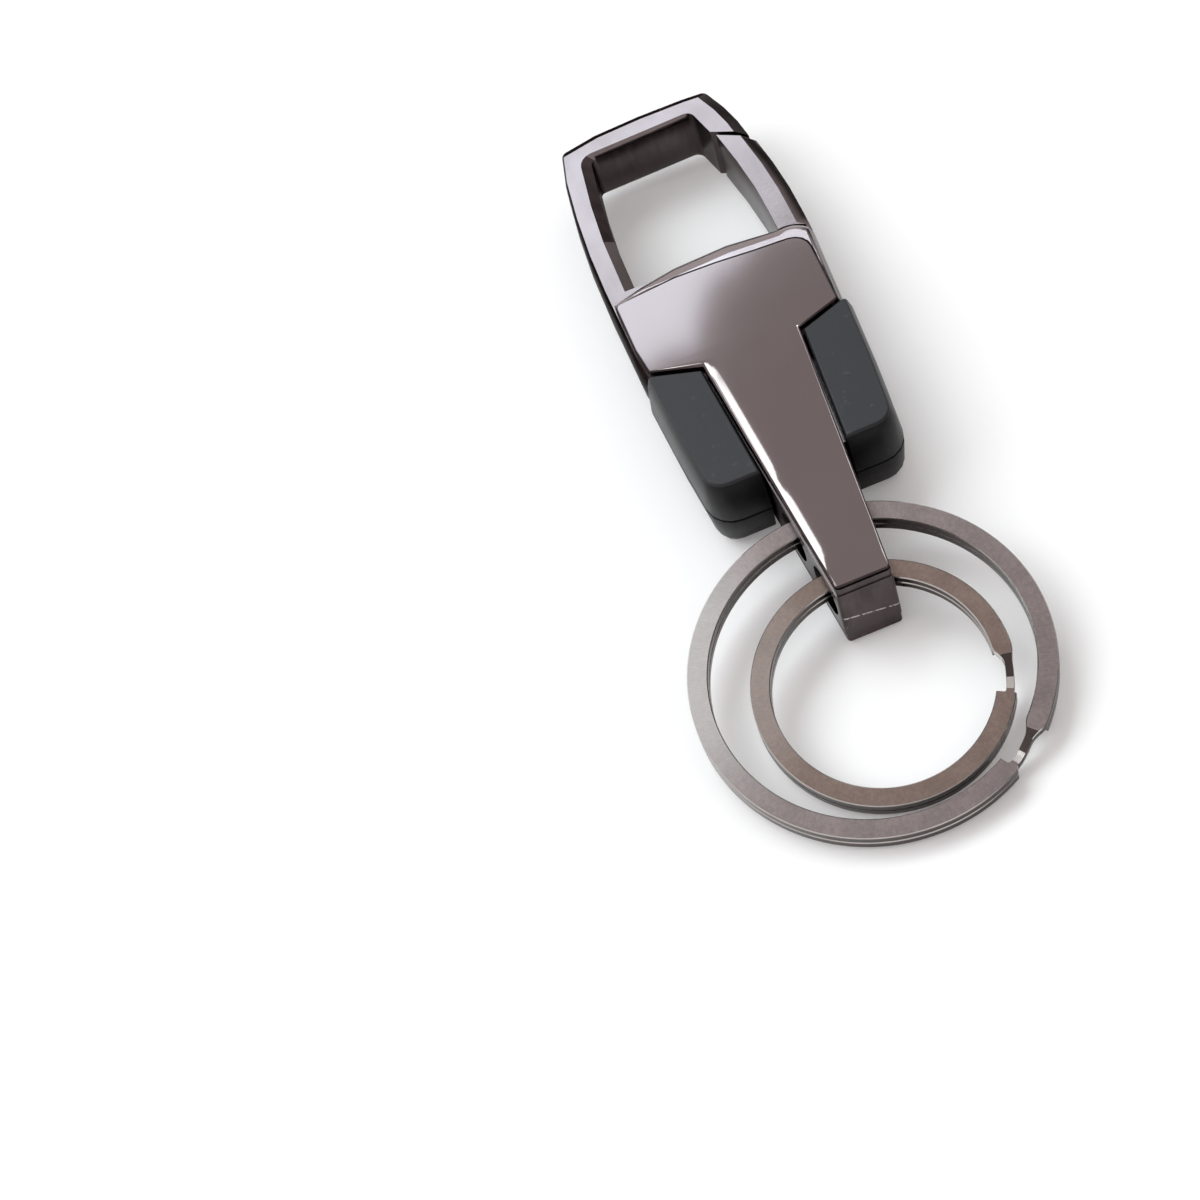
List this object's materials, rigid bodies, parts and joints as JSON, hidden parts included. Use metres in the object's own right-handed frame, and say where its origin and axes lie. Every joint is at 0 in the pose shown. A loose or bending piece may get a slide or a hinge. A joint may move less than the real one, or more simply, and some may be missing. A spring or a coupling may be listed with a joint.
{
  "type": "key tag",
  "caption": "Metal key tag with a sprung hook, inlaid covers, black grips and split rings through its tail",
  "frame": {"origin": "middle of the back cover's flat stem face, on which the tag lies", "axes": "+X to the gate side, +Y along the tag to the hook, +Z out of the front cover"},
  "size_m": [0.035, 0.089, 0.0098],
  "materials": {
    "dark_nickel": "zinc casting with a polished dark nickel plating",
    "polished_cover": "polished dark nickel plate",
    "black_plastic": "moulded black plastic, fine matt grain",
    "pin_steel": "plain steel",
    "brushed_wire": "flat steel wire, brushed across, dark nickel tone"
  },
  "bodies": {
    "frame": {"hook_frame": "dark_nickel", "front_cover": "polished_cover", "back_cover": "polished_cover", "grip_left_front": "black_plastic", "grip_left_back": "black_plastic", "grip_right_front": "black_plastic", "grip_right_back": "black_plastic", "gate_pin": "pin_steel", "gate_spring": "pin_steel"},
    "gate": {"gate": "dark_nickel"},
    "large_ring": {"large_ring": "brushed_wire"},
    "small_ring": {"small_ring": "brushed_wire"}
  },
  "joints": [
    {"name": "gate_hinge", "type": "hinge", "parent": "frame", "child": "gate", "pos_m": [0.0083, 0.0192, 0.00492], "axis": [0, 0, 1], "range_deg": [0, 18], "stiffness_Nm_per_rad": 0.05, "springref_deg": -22.92},
    {"name": "large_ring_swing", "type": "hinge", "parent": "frame", "child": "large_ring", "pos_m": [0, -0.0105, 0.00492], "axis": [0.9976, -0.0698, 0], "range_deg": [-172, 160]},
    {"name": "small_ring_swing", "type": "hinge", "parent": "frame", "child": "small_ring", "pos_m": [0, -0.0175, 0.00492], "axis": [0.9965, -0.0837, 0], "range_deg": [-154, 118]}
  ]
}
